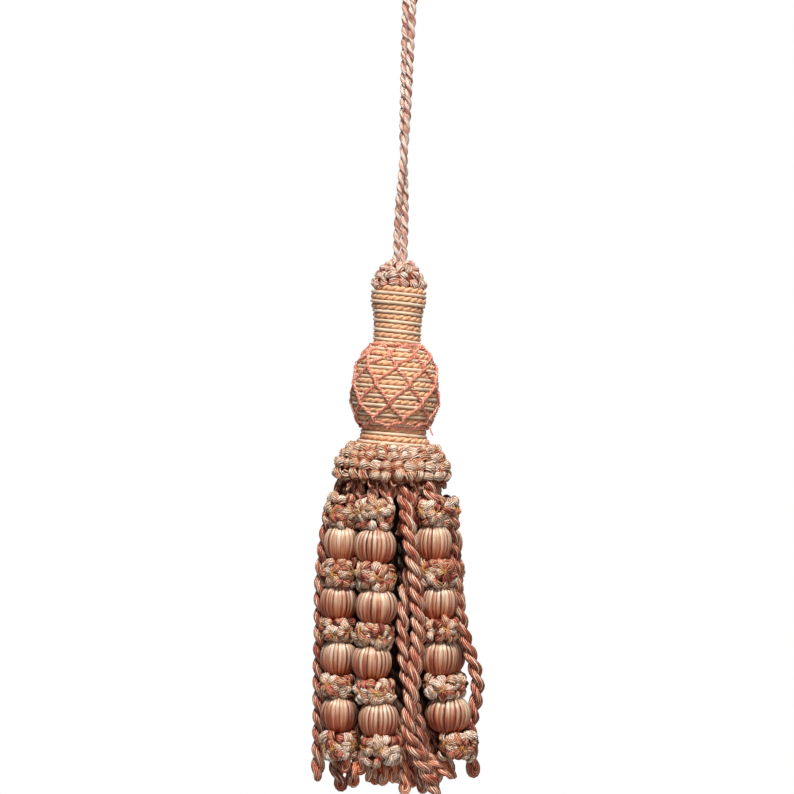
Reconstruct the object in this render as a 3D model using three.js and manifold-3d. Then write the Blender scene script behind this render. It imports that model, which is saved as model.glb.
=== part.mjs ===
// A key tassel: a doubled hanging cord, a cord-wound head with a knotted net over its ball,
// a ruffed collar and skirt ruff, a bullion skirt, and six strings of covered beads and tufts.
// Millimetres, +Z up. The origin is where the hanging loop bears on its hook, and every
// "drop" is a distance straight down from there. The front of the tassel faces -Y.
import * as THREE from "three";
import { mergeVertices } from "three/addons/utils/BufferGeometryUtils.js";
import Module from "manifold-3d";

const wasm = await Module();
wasm.setup();

// Clearance left between pieces that touch on the real tassel.
const seat = 0.3;

// Heights of the stack, from the hook down.
const loopDrop = 98.4;
const collarHeight = 7.2;
const neckHeight = 16.4;
const ballHeight = 26;
const footHeight = 16.1;
const ruffBelowFootTop = 5.2;
const ruffHeight = 10.9;
const headingThickness = 1.6;

const collarTop = loopDrop;
const neckTop = collarTop + collarHeight + seat;
const ballTop = neckTop + neckHeight + seat;
const footTop = ballTop + ballHeight + seat;
const ruffTop = footTop + ruffBelowFootTop;
const headingTop = footTop + footHeight + seat;
const headingBottom = headingTop + headingThickness;

// Cords.
const loopCordDiameter = 2.3;
const netCordDiameter = 0.8;
const bullionDiameter = 3.6;
const stringDiameter = 1.5;

// Widths of the head.
const collarBoreRadius = 2.9;
const ballRadius = 13.1;
const ballWidestShare = 0.6;
const ruffBoreRadius = 12.5;
const headingRadius = 16.8;

// Beads and tufts.
const beadHeight = 10.4;
const beadBoreRadius = 1.15;
const tuftRadius = 6.2;

// The skirt hangs a little to one side: sideways travel for each millimetre below its heading.
const skirtLean = 0.04;

const colours = {
  roseCord: 0xd79a86,
  goldCord: 0xe9bd8b,
  coralCord: 0xdc8468,
  mixedRuff: 0xd9b795,
  bullion: 0xb9755f,
  satin: 0xc99a82,
};

const root = new THREE.Group();

function add(name, geometry, colour, roughness = 0.75) {
  const mesh = new THREE.Mesh(
    geometry,
    new THREE.MeshStandardMaterial({ color: colour, roughness, metalness: 0 }),
  );
  mesh.name = name;
  root.add(mesh);
}

// A point at a turn in degrees from the front, seen from above, positive to the right.
function around(turn, reach, drop) {
  const angle = THREE.MathUtils.degToRad(turn);
  return new THREE.Vector3(reach * Math.sin(angle), -reach * Math.cos(angle), -drop);
}

// The same in the skirt, whose middle leans.
function inSkirt(point) {
  const below = -point.z - headingBottom;
  return point.clone().add(new THREE.Vector3(skirtLean * below, 0, 0));
}

function toSolid(geometry) {
  const bare = geometry.clone();
  bare.deleteAttribute("normal");
  bare.deleteAttribute("uv");
  const merged = mergeVertices(bare, 1e-3);
  return new wasm.Manifold(
    new wasm.Mesh({
      numProp: 3,
      vertProperties: merged.attributes.position.array,
      triVerts: new Uint32Array(merged.index.array),
    }),
  );
}

function toGeometry(solid) {
  const mesh = solid.getMesh();
  const geometry = new THREE.BufferGeometry();
  geometry.setAttribute("position", new THREE.BufferAttribute(mesh.vertProperties, 3));
  geometry.setIndex(new THREE.BufferAttribute(mesh.triVerts, 1));
  geometry.computeVertexNormals();
  return geometry;
}

function joined(geometries) {
  return toGeometry(geometries.map(toSolid).reduce((all, next) => all.add(next)));
}

// Turns a profile of [radius, drop] pairs, listed down its outside, about the Z axis.
function turned(profile, segments) {
  const points = profile.map(([radius, drop]) => new THREE.Vector2(radius, -drop)).reverse();
  return new THREE.LatheGeometry(points, segments).rotateX(Math.PI / 2);
}

// A cord through points, with flat ends.
function cord(points, diameter, sides, steps) {
  const section = new THREE.Shape();
  for (let side = 0; side < sides; side += 1) {
    const angle = (side / sides) * 2 * Math.PI;
    const x = Math.cos(angle) * (diameter / 2);
    const y = Math.sin(angle) * (diameter / 2);
    if (side === 0) section.moveTo(x, y);
    else section.lineTo(x, y);
  }
  section.closePath();
  const extrudePath = new THREE.CatmullRomCurve3(points, false, "centripetal");
  return new THREE.ExtrudeGeometry(section, { steps, extrudePath, bevelEnabled: false });
}

// Pushes the outside of a turned ring in and out, in staggered rows of knobs.
function knobbed(geometry, knobs, rowHeight, depth, innerRadius) {
  const position = geometry.attributes.position;
  for (let i = 0; i < position.count; i += 1) {
    const x = position.getX(i);
    const y = position.getY(i);
    const radius = Math.hypot(x, y);
    if (radius < innerRadius) continue;
    const row = Math.round(position.getZ(i) / rowHeight);
    const wave = Math.cos(knobs * Math.atan2(x, y) + row * Math.PI);
    const scale = (radius + depth * wave) / radius;
    position.setXY(i, x * scale, y * scale);
  }
  return geometry;
}

// One leg of the doubled cord, from the head up to the middle of the eye: [x, y, z].
const legRoute = [
  [-1.23, 0, -105.6],
  [-1.23, 0, -98],
  [-1.21, -0.17, -88],
  [-0.97, -0.75, -80],
  [-0.48, -1.13, -72.6],
  [0, -1.23, -65],
  [0.48, -1.13, -57],
  [0.68, -1.02, -46],
  [0.84, -0.9, -36],
  [0.97, -0.75, -26],
  [1.1, -0.54, -19.5],
  [1.9, -0.3, -15.3],
  [3.6, -0.1, -11.2],
  [4.9, 0, -7.6],
  [5.2, 0, -4.2],
  [3.7, 0, -0.5],
];

// The other leg is the same turned half round, so the two wind past each other once.
function hangingLoop() {
  const leg = legRoute.map((point) => new THREE.Vector3(...point));
  const otherLeg = leg.map((point) => new THREE.Vector3(-point.x, -point.y, point.z));
  const middle = new THREE.Vector3(0, 0, loopCordDiameter / 2);
  const route = [...leg, middle, ...otherLeg.reverse()];
  add("hanging_loop", cord(route, loopCordDiameter, 8, 46), colours.roseCord);
}

function collarRuff() {
  const top = collarTop;
  const bottom = top + collarHeight;
  const profile = [
    [collarBoreRadius, bottom],
    [collarBoreRadius, top],
    [4.4, top],
    [5.7, top + 1.8],
    [6.9, top + 3.6],
    [7.4, top + 5.4],
    [7.5, bottom],
    [collarBoreRadius, bottom],
  ];
  const ring = knobbed(turned(profile, 20), 10, 1.8, 0.3, collarBoreRadius + 1);
  add("collar_ruff", ring, colours.mixedRuff);
}

function neckMould() {
  const top = neckTop;
  const bottom = top + neckHeight;
  const profile = [
    [0, top],
    [7.6, top],
    [8.3, top + 1],
    [8.4, top + 4.2],
    [7.5, top + 7.6],
    [7.2, top + 12],
    [7.2, bottom],
    [0, bottom],
  ];
  add("neck_mould", turned(profile, 20), colours.goldCord);
}

// The ball's outline: two half-ellipses that meet where it is widest.
function ballOutline(drop) {
  const widest = ballTop + ballHeight * ballWidestShare;
  const reachUp = 18.6;
  const reachDown = 15.6;
  const share = drop < widest ? (widest - drop) / reachUp : (drop - widest) / reachDown;
  return ballRadius * Math.sqrt(1 - share * share);
}

function ballMould() {
  const bands = 9;
  const profile = [[0, ballTop]];
  for (let band = 0; band <= bands; band += 1) {
    const drop = ballTop + (ballHeight * band) / bands;
    profile.push([ballOutline(drop), drop]);
  }
  profile.push([0, ballTop + ballHeight]);
  add("ball_mould", turned(profile, 20), colours.goldCord);
}

// The net's knots: each row's distance below the ball's top and the turn of one knot in it.
const netColumns = 8;
const netRows = [
  { row: "top ring", below: 0.9, turn: -28 },
  { row: "first knots", below: 3.4, turn: -12 },
  { row: "second knots", below: 7.1, turn: 0 },
  { row: "third knots", below: 12.3, turn: 19 },
  { row: "fourth knots", below: 18.2, turn: 38 },
  { row: "fifth knots", below: 23.4, turn: 59 },
  { row: "bottom ring", below: 25.4, turn: 80 },
];

// The shortest distance from the origin to the sides of a flat outline.
function inradius(outline) {
  const distances = outline.map((corner, index) => {
    const next = outline[(index + 1) % outline.length];
    return Math.abs(corner.cross(next)) / corner.distanceTo(next);
  });
  return Math.min(...distances);
}

function ballNet() {
  const inner = seat + 0.15;
  const outer = inner + netCordDiameter;
  const spacing = 360 / netColumns;
  const rim = netCordDiameter / 2;
  const last = netRows.length - 1;
  const levels = netRows.map((row) => row.below);
  levels[0] -= rim;
  levels[last] += rim;
  const wall = (lift) =>
    levels.map((below) => [ballOutline(ballTop + below) + lift, ballTop + below]);
  const outerWall = wall(outer);
  const shell = turned([...wall(inner).reverse(), ...outerWall, wall(inner)[last]], 16);

  // Each mesh of the net is a diamond between four knots, cut straight out from the ball.
  const knot = (index, turn) => {
    const drop = ballTop + netRows[index].below;
    return around(turn, ballOutline(drop) + outer, drop);
  };
  const middle = new THREE.Vector3(0, 0, -(ballTop + ballHeight / 2));
  const diamond = (index, column) => {
    const turn = spacing * column;
    const corners = [
      knot(index - 1, netRows[index - 1].turn + turn),
      knot(index, netRows[index].turn + turn),
      knot(index + 1, netRows[index + 1].turn + turn - spacing),
      knot(index, netRows[index].turn + turn - spacing),
    ];
    const centre = new THREE.Vector3();
    corners.forEach((corner) => centre.addScaledVector(corner, 1 / corners.length));
    const frame = new THREE.Matrix4().lookAt(centre, middle, new THREE.Vector3(0, 0, 1));
    frame.setPosition(centre);
    const toFlat = frame.clone().invert();
    const outline = corners.map((corner) => {
      const flat = corner.applyMatrix4(toFlat);
      return new THREE.Vector2(flat.x, flat.y);
    });
    const share = 1 - netCordDiameter / 2 / inradius(outline);
    const shape = new THREE.Shape(outline.map((corner) => corner.multiplyScalar(share)));
    const depth = 6;
    const prism = new THREE.ExtrudeGeometry(shape, { depth, bevelEnabled: false });
    return prism.translate(0, 0, -depth / 2).applyMatrix4(frame);
  };
  let net = toSolid(shell);
  for (let index = 1; index < last; index += 1) {
    for (let column = 0; column < netColumns; column += 1) {
      net = net.subtract(toSolid(diamond(index, column)));
    }
  }
  add("ball_net", toGeometry(net), colours.coralCord);
}

function footMould() {
  const top = footTop;
  const bottom = top + footHeight;
  const profile = [
    [0, top],
    [9.8, top],
    [10.2, top + 2.6],
    [12.1, top + ruffBelowFootTop],
    [12.1, bottom],
    [0, bottom],
  ];
  add("foot_mould", turned(profile, 20), colours.goldCord);
}

function skirtRuff() {
  const top = ruffTop;
  const bottom = top + ruffHeight;
  const profile = [
    [ruffBoreRadius, bottom],
    [ruffBoreRadius, top],
    [14, top - 0.2],
    [16.2, top + 2],
    [17.2, top + 4],
    [17.8, top + 6],
    [18, top + 8.2],
    [15.8, bottom],
    [ruffBoreRadius, bottom],
  ];
  const ring = knobbed(turned(profile, 40), 20, 2.2, 0.4, ruffBoreRadius + 1);
  add("skirt_ruff", ring, colours.mixedRuff);
}

// The inner bullion: looped cords in rings, hanging straight and splaying at their ends.
const innerRings = [
  { cords: 1, turn: 0, reach: 0, endReach: 0, endDrop: 254, steps: 2 },
  { cords: 6, turn: 10, reach: 3.85, endReach: 4.6, endDrop: 256, steps: 2 },
  { cords: 12, turn: -4, reach: 7.6, endReach: 12.8, endDrop: 257.6, steps: 7 },
];

// The outer bullion hangs between the bead strings. Each row gives how far right of the
// skirt's middle, and how far forward of it, the cord lies at each of these drops, and the
// drop of its looped end, which the last pair of numbers places.
const outerDrops = [166.1, 172, 180, 195, 210, 225, 240];
const outerCords = [
  {
    name: "front",
    right: [3.4, 4.4, 5.3, 7.2, 7.9, 6.3, 5.2, 12.8],
    forward: [12.6, 14.4, 16.8, 16.8, 16.5, 17.8, 18.2, 13.5],
    end: 258,
  },
  {
    name: "behind it",
    right: [3.4, 3.4, 3.2, 2.2, 3.2, 4.7, 8.6, 9],
    forward: [9.4, 9.4, 10.2, 10.6, 13.2, 14.5, 14, 11],
    end: 257,
  },
  {
    name: "right",
    right: [14.4, 17.8, 18.7, 20, 22.1, 26, 24.4, 24.9],
    forward: [3, 4.2, 5, 5, 3.5, 2, -0.4, 0],
    end: 253.8,
  },
  {
    name: "back right",
    right: [10.2, 11, 11.8, 12, 12.5, 13.4, 14, 13.5],
    forward: [-10.6, -11.4, -12.2, -12.6, -13.5, -14.6, -15.8, -16.5],
    end: 257.5,
  },
  {
    name: "back",
    right: [-3.8, -4.7, -5.1, -5.3, -5.6, -5.2, -5, -6],
    forward: [-14.6, -19.2, -20.6, -21, -21.4, -21.8, -22, -20],
    end: 257,
  },
  {
    name: "left",
    right: [-14.8, -18, -19.9, -21.6, -21.9, -22.3, -22.4, -22.9],
    forward: [-2, -3, -4, -4, -4, -4, -4.5, -4],
    end: 256.7,
  },
  {
    name: "left behind",
    right: [-11, -11.8, -12.4, -12.6, -12.8, -13, -13.4, -16.5],
    forward: [-2, -2.6, -3, -3, -3, -3, -3.4, -4],
    end: 259,
  },
];

function bullionSkirt() {
  const heading = [
    [0, headingTop],
    [headingRadius, headingTop],
    [headingRadius, headingBottom],
    [0, headingBottom],
  ];
  const rootDrop = headingBottom - headingThickness / 2;
  const combed = [turned(heading, 24)];
  for (const ring of innerRings) {
    for (let index = 0; index < ring.cords; index += 1) {
      const turn = ring.turn + (360 * index) / ring.cords;
      const endDrop = ring.endDrop + 1.3 * Math.sin(index * 2.4 + ring.cords);
      const points = [
        around(turn, ring.reach, rootDrop),
        around(turn, ring.reach, rootDrop + 30),
        around(turn, ring.reach, 249.5),
        around(turn, ring.endReach, endDrop),
      ];
      combed.push(cord(points.map(inSkirt), bullionDiameter, 5, ring.steps));
    }
  }
  for (const outer of outerCords) {
    const points = [...outerDrops, outer.end].map(
      (drop, index) => new THREE.Vector3(outer.right[index], -outer.forward[index], -drop),
    );
    combed.push(cord(points.map(inSkirt), bullionDiameter, 5, 9));
  }
  add("bullion_skirt", joined(combed), colours.bullion);
}

// The bead strings. turns and reaches place the four beads and the last tuft, widths are the
// beads', and lower is how far the string hangs below the usual drops.
const beadDrops = [183.7, 201.7, 218.4, 235.4];
const firstTuftDrop = 173.9;
const lastTuftDrop = 244.5;
const strings = [
  {
    name: "left",
    turns: [-67, -73, -71, -67, -66],
    reaches: [16.2, 17, 17, 17.5, 17.3],
    widths: [11.6, 11.6, 11.4, 11.4],
    lower: 0.1,
  },
  {
    name: "front",
    turns: [-18, -15, -22, -13, -12],
    reaches: [16.2, 17, 17, 17.5, 17.5],
    widths: [12.7, 12.9, 12, 11.8],
    lower: 0.2,
  },
  {
    name: "right",
    turns: [51, 58, 56, 66, 70],
    reaches: [16.2, 17, 17, 18.2, 21.4],
    widths: [10.8, 10.9, 11.4, 12.8],
    lower: -1.2,
  },
  {
    name: "right_back",
    turns: [102, 103, 101, 110, 113],
    reaches: [16.2, 17, 17, 17.5, 17.6],
    widths: [11.6, 12, 11.8, 11.8],
    lower: -0.6,
  },
  {
    name: "back",
    turns: [170, 166, 171, 168, 165],
    reaches: [16.2, 17, 17, 17.5, 17.8],
    widths: [12.4, 11.8, 12.2, 11.8],
    lower: 0.5,
  },
  {
    name: "left_back",
    turns: [-141, -138, -143, -139, -141],
    reaches: [16.2, 17, 17, 17.5, 17.4],
    widths: [11.8, 12.3, 11.7, 12],
    lower: 0.2,
  },
];

// Shifts a piece turned about Z sideways, level by level, to where its string hangs.
function hung(geometry, stops) {
  const position = geometry.attributes.position;
  for (let i = 0; i < position.count; i += 1) {
    const z = THREE.MathUtils.clamp(position.getZ(i), stops[stops.length - 1].z, stops[0].z);
    const above = stops.findLastIndex((stop, index) => stop.z >= z && index < stops.length - 1);
    const [from, to] = [stops[above], stops[above + 1]];
    const place = from.clone().lerp(to, (z - from.z) / (to.z - from.z));
    position.setXY(i, position.getX(i) + place.x, position.getY(i) + place.y);
  }
  return geometry;
}

function bead(width, drop) {
  // Shares of the bead's half height, upwards, and of its radius there.
  const outline = [
    [0.95, 0.42],
    [0.45, 0.97],
    [-0.45, 0.97],
    [-0.95, 0.42],
  ].map(([level, share]) => [(width / 2) * share, drop - (level * beadHeight) / 2]);
  const topEdge = [beadBoreRadius, outline[0][1]];
  const bottomEdge = [beadBoreRadius, outline[outline.length - 1][1]];
  return turned([bottomEdge, topEdge, ...outline, bottomEdge], 9);
}

// A tuft's profile: a dished ring of yarn around the string.
function tuftProfile({ drop, height, radius }) {
  const core = stringDiameter / 2;
  return [
    [core, drop - height * 0.4],
    [radius * 0.86, drop - height * 0.5],
    [radius, drop],
    [radius * 0.86, drop + height * 0.5],
    [core, drop + height * 0.4],
  ];
}

function beadString(string) {
  const drops = beadDrops.map((drop) => drop + string.lower);
  const firstDrop = firstTuftDrop + string.lower * 0.6;
  const lastDrop = lastTuftDrop + string.lower;
  const top = headingBottom + seat;
  const end = lastDrop + 3.4;
  const [turn] = string.turns;
  const stops = [
    around(turn, 14.4, top),
    around(turn, 15.6, firstDrop),
    ...drops.map((drop, index) => around(string.turns[index], string.reaches[index], drop)),
    around(string.turns[4], string.reaches[4], lastDrop),
    around(string.turns[4], string.reaches[4], end + 1),
  ].map(inSkirt);
  const tufts = [{ drop: firstDrop, height: 7.6, radius: tuftRadius * 0.9 }];
  drops.slice(1).forEach((drop, index) => {
    const height = drop - drops[index] - beadHeight - seat;
    tufts.push({ drop: (drops[index] + drop) / 2, height, radius: tuftRadius });
  });
  tufts.push({ drop: lastDrop, height: 7.2, radius: tuftRadius });
  const core = stringDiameter / 2;
  const profile = [[0, top], [core, top], ...tufts.flatMap(tuftProfile), [core, end], [0, end]];
  const yarn = knobbed(turned(profile, 8), 4, 3, 0.3, tuftRadius * 0.6);
  add(`bead_string_${string.name}`, hung(yarn, stops), colours.mixedRuff);
  drops.forEach((drop, index) => {
    const piece = hung(bead(string.widths[index], drop), stops);
    add(`bead_${string.name}_${index + 1}`, piece, colours.satin, 0.45);
  });
}

hangingLoop();
collarRuff();
neckMould();
ballMould();
ballNet();
footMould();
skirtRuff();
bullionSkirt();
strings.forEach(beadString);

export default root;
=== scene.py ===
import math

import bmesh
import bpy
import numpy as np
from mathutils import Matrix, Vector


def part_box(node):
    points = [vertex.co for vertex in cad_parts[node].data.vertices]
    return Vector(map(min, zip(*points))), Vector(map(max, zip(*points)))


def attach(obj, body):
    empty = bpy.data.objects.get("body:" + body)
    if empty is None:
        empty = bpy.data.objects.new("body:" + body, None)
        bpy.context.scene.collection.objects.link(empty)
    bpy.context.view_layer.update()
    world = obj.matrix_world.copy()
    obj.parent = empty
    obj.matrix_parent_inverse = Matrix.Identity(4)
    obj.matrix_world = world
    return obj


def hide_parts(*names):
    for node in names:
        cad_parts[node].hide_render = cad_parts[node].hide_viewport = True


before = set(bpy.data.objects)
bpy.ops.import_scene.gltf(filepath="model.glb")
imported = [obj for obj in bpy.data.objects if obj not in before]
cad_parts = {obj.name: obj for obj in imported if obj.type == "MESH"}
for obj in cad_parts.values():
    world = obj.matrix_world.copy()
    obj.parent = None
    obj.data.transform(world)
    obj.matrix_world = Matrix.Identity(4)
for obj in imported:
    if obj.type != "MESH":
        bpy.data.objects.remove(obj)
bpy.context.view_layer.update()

# A key tassel. Metres, +Z up, the hook at the origin and the front towards -Y.
# A "turn" is an angle in degrees seen from above: 0 is the front, 90 the right.

mm = 0.001
wholeTurn = 6.28  # in radians, where any turn will do
rng = np.random.default_rng(11)


def nodeTop(node):
    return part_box(node)[1].z


def nodeBottom(node):
    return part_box(node)[0].z


def nodeRadius(node):
    low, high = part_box(node)
    return (high.x - low.x) / 2


def placed(name, data):
    piece = bpy.data.objects.new(name, data)
    bpy.context.scene.collection.objects.link(piece)
    return piece


view = {
    "lens": 135.0,
    "sensor": 36.0,
    "field": 242.2 * mm,  # height that the camera takes in at the tassel
    "aimX": 0.64 * mm,
    "aimZ": -139.0 * mm,
    "roll": 2.1,  # degrees that the plumb line leans to the right in view
}


def makeCamera():
    data = bpy.data.cameras.new("camera")
    data.lens = view["lens"]
    data.sensor_width = view["sensor"]
    data.clip_start = 0.01
    data.clip_end = 20
    camera = placed("camera", data)
    distance = view["field"] * view["lens"] / view["sensor"]
    camera.location = (view["aimX"], -distance, view["aimZ"])
    camera.rotation_euler = (math.radians(90), math.radians(-view["roll"]), 0)
    bpy.context.scene.camera = camera


makeCamera()
print("camera set")


def unit(vectors):
    return vectors / np.linalg.norm(vectors, axis=-1, keepdims=True)


def lengthsAlong(line):
    steps = np.linalg.norm(np.diff(line, axis=0), axis=1)
    return np.concatenate([[0.0], np.cumsum(steps)])


def smoothLine(points, spacing):
    # a centripetal Catmull-Rom curve through the points, cut into even steps
    pts = np.asarray(points, float)
    knots = np.concatenate([[0.0], np.cumsum(np.sqrt(np.linalg.norm(np.diff(pts, axis=0), axis=1)))])
    gaps = np.diff(knots)[:, None]
    slopes = np.diff(pts, axis=0) / gaps
    tangents = np.empty_like(pts)
    tangents[1:-1] = (slopes[:-1] * gaps[1:] + slopes[1:] * gaps[:-1]) / (gaps[1:] + gaps[:-1])
    tangents[0] = slopes[0]
    tangents[-1] = slopes[-1]
    t = np.linspace(0, 1, 12, endpoint=False)[:, None]
    pieces = []
    for i, gap in enumerate(gaps[:, 0]):
        rise = pts[i + 1] - pts[i]
        pieces.append(
            pts[i]
            + t * gap * tangents[i]
            + t**2 * (3 * rise - gap * (2 * tangents[i] + tangents[i + 1]))
            + t**3 * (gap * (tangents[i] + tangents[i + 1]) - 2 * rise)
        )
    dense = np.concatenate(pieces + [pts[-1:]])
    along = lengthsAlong(dense)
    count = max(3, int(round(along[-1] / spacing)) + 1)
    even = np.linspace(0, along[-1], count)
    return np.stack([np.interp(even, along, dense[:, k]) for k in range(3)], axis=1)


def sidesOf(line, firstNormal):
    # two directions square to the line at each point, turning as little as they can
    tangents = unit(np.gradient(line, axis=0))
    normals = np.empty_like(line)
    normal = np.array(firstNormal, float)
    for i, tangent in enumerate(tangents):
        normal = normal - tangent * normal.dot(tangent)
        normal = normal / math.sqrt(normal.dot(normal))
        normals[i] = normal
    return normals, np.cross(tangents, normals)


def twisted(line, reach, pitch, firstNormal=(0, -1, 0), start=0.0):
    # the lines of an S-twist cord's two plies
    normals, others = sidesOf(line, firstNormal)
    along = lengthsAlong(line)
    result = []
    for ply in range(2):
        angle = (start + math.pi * ply - 2 * math.pi * along / pitch)[:, None]
        result.append(line + reach * (np.cos(angle) * normals + np.sin(angle) * others))
    return result


def turnTo(turn, reach, z):
    # the point at this turn, this far from the middle
    angle = np.radians(turn)
    return np.stack(np.broadcast_arrays(reach * np.sin(angle), -reach * np.cos(angle), z), axis=-1)


def slanted(turn, outward, degrees):
    # the way a loop lies: square to outward, and level unless it is slanted
    level = turnTo(turn + 90, 1.0, 0.0)
    slant = math.radians(degrees)
    return level * math.cos(slant) + np.cross(outward, level) * math.sin(slant)


def finished(name, mesh, material):
    mesh.materials.append(material)
    mesh.shade_smooth()
    return placed(name, mesh)


class Yarn:
    # Gathers strands and makes them one mesh. Each vertex knows its strand's tone, its painted light
    # and shade (how much lighter or darker than the rest of the strand it is painted), and its distance
    # along it. The UV map goes once round each strand.
    def __init__(self, name, sides):
        self.name = name
        self.sides = sides
        self.curve = bpy.data.curves.new(name, "CURVE")
        self.curve.dimensions = "3D"
        self.curve.bevel_depth = 1
        self.curve.bevel_resolution = (sides - 4) // 2
        self.curve.use_fill_caps = False
        self.tones = []
        self.alongs = []
        self.shades = []

    def add(self, line, radius, tone=0.5, closed=False, shade=0.0):
        spline = self.curve.splines.new("POLY")
        spline.points.add(len(line) - 1)
        spline.points.foreach_set("co", np.c_[line, np.ones(len(line))].ravel())
        spline.points.foreach_set("radius", np.full(len(line), radius))
        spline.use_cyclic_u = closed
        self.tones.append(np.full(len(line) * self.sides, tone))
        self.alongs.append(np.repeat(lengthsAlong(line), self.sides))
        self.shades.append(np.repeat(np.full(len(line), shade), self.sides))

    def addCord(self, line, cord, tones, **twist):
        for ply, tone in zip(twisted(line, cord["plyReach"], cord["pitch"], **twist), tones):
            self.add(ply, cord["ply"], tone)

    def finish(self, material):
        source = placed(self.name + "_curve", self.curve)
        mesh = bpy.data.meshes.new_from_object(source)
        bpy.data.objects.remove(source)
        bpy.data.curves.remove(self.curve)
        for name, values in (("tone", self.tones), ("along", self.alongs), ("shade", self.shades)):
            layer = mesh.attributes.new(name, "FLOAT", "POINT")
            layer.data.foreach_set("value", np.concatenate(values).astype(np.float32))
        bm = bmesh.new()
        bm.from_mesh(mesh)
        openEdges = [edge for edge in bm.edges if edge.is_boundary]
        bmesh.ops.holes_fill(bm, edges=openEdges, sides=self.sides)
        bm.to_mesh(mesh)
        bm.free()
        mesh.name = self.name
        mesh.materials.clear()
        return finished(self.name, mesh, material)


class Shade:
    # A socket in a material. Arithmetic on it adds Math nodes.
    def __init__(self, tree, socket=None):
        self.tree = tree
        self.socket = socket

    def node(self, kind, settings=None, values=None, output=0):
        made = self.tree.nodes.new("ShaderNode" + kind)
        for key, value in (settings or {}).items():
            if key == "stops":  # (position, display colour) from left to right
                ramp = made.color_ramp
                while len(ramp.elements) < len(value):
                    ramp.elements.new(0.5)
                for element, (position, colour) in zip(ramp.elements, value):
                    element.position = position
                    element.color = (*linear(*colour), 1)
            else:
                setattr(made, key, value)
        for key, value in (values or {}).items():
            if isinstance(value, Shade):
                self.tree.links.new(value.socket, made.inputs[key])
            else:
                made.inputs[key].default_value = value
        return Shade(self.tree, made.outputs[output] if made.outputs else None)

    def math(self, operation, *others):
        return self.node("Math", {"operation": operation}, dict(enumerate((self, *others))))

    def __add__(self, other):
        return self.math("ADD", other)

    def __sub__(self, other):
        return self.math("SUBTRACT", other)

    def __rsub__(self, other):
        return self.node("Math", {"operation": "SUBTRACT"}, {0: other, 1: self})

    def __mul__(self, other):
        return self.math("MULTIPLY", other)

    __radd__ = __add__
    __rmul__ = __mul__

    def clamp(self):
        return self.node("Clamp", None, {0: self})

    def part(self, axis):
        return self.node("SeparateXYZ", None, {0: self}, axis)

    def chance(self):
        return self.node("TexWhiteNoise", None, {"Vector": self})

    def noise(self, detail=2.0, roughness=0.5, scale=1.0):
        values = {"Vector": self, "Scale": scale, "Detail": detail, "Roughness": roughness}
        return self.node("TexNoise", None, values)

    def ramp(self, stops):
        return self.node("ValToRGB", {"stops": stops}, {0: self})

    def vector(self, *parts):
        return self.node("CombineXYZ", None, dict(enumerate(parts)))

    def attribute(self, name):
        return self.node("Attribute", {"attribute_name": name}, None, "Fac")

    def bump(self, height, distance, strength=1.0):
        values = {"Strength": strength, "Distance": distance, "Height": height}
        return self.node("Bump", None, values)

    def surface(self, values):
        shader = self.node("BsdfPrincipled", None, values)
        self.node("OutputMaterial", None, {"Surface": shader})


def linear(*display):
    # 0 to 255 display values to linear ones
    return tuple(((c / 255 + 0.055) / 1.055) ** 2.4 if c > 10 else c / 255 / 12.92 for c in display)


def newMaterial(name):
    material = bpy.data.materials.new(name)
    material.use_nodes = True
    tree = material.node_tree
    tree.nodes.clear()
    return material, Shade(tree)


def mixColours(at, share, first, second, blend="MIX"):
    def asValue(colour):
        return colour if isinstance(colour, Shade) else (*colour, 1)

    settings = {"data_type": "RGBA", "blend_type": blend}
    return at.node("Mix", settings, {0: share, 6: asValue(first), 7: asValue(second)}, 2)


fibres = {
    "strayFibreHighlight": linear(250, 232, 214),  # pale stray fibres on a strand, with a painted highlight on them
    "dark": linear(30, 9, 5),  # painted shade deep inside the skirt, where little light gets in
    "darkOver": 18 * mm,  # height over which the painted shade comes in
    "glint": (1.0, 0.78, 0.58, 1),
}


def threadMaterial(name, look):
    # Fine threads lie side by side around each strand and wind along it.
    material, at = newMaterial(name)
    tone, along, shade = (at.attribute(key) for key in ("tone", "along", "shade"))
    around = at.node("UVMap", {"uv_map": "UVMap"}).part(1)
    turns = (around - along * (1 / look["lay"])).math("FRACT")
    lanes = turns * look["threads"]
    lane = lanes.math("FLOOR")
    across = lanes - lane
    crown = (across * math.pi).math("SINE")
    chance = at.vector(lane, tone * 977.0, 0.0).chance()
    strand = tone * 613.0  # so that no two strands are alike
    drift = at.vector(lane * 0.9, strand, along * (1 / look["drift"])).noise(detail=1.0)
    fuzz = at.vector(lanes * 2.5, strand, along * (1 / look["hair"])).noise(detail=3.0, roughness=0.6)
    share = chance * look["mixed"] + (drift - 0.5) * look["drifts"] + (tone - 0.5) * look["toned"]
    # shade: painted light and shade along a strand
    share = share + shade + look["base"]
    colour = share.clamp().ramp(look["colours"])
    # pale stray fibres with a painted highlight, where the fuzz noise is high
    colour = mixColours(at, (1 + (fuzz - 0.55) * look["hairs"]).clamp(), fibres["strayFibreHighlight"], colour)
    # painted shade: the colour darkens towards a set shade colour in the grooves between threads, with
    # random darker fibres
    deep = mixColours(at, 1.0, colour, linear(*look["deep"]), "MULTIPLY")
    share = (1 - crown) * look["grooves"] + (0.5 - fuzz) * look["hairs"]
    colour = mixColours(at, share.clamp(), colour, deep)
    # painted shade: above a given height the strand darkens, deep inside the skirt
    if "paintedShadeAbove" in look:
        z = at.node("TexCoord", None, None, "Object").part(2)
        share = (z - look["paintedShadeAbove"]) * (1 / fibres["darkOver"])
        colour = mixColours(at, share.clamp(), colour, fibres["dark"])
    height = crown + (fuzz - 0.5) * 0.5
    rough = look["roughness"] + (fuzz - 0.5) * 0.25
    at.surface({
        "Base Color": colour, "Roughness": rough, "Normal": at.bump(height, look["relief"]),
        "Sheen Weight": look["sheen"], "Specular IOR Level": look["gloss"], "Specular Tint": fibres["glint"],
    })
    return material
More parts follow.
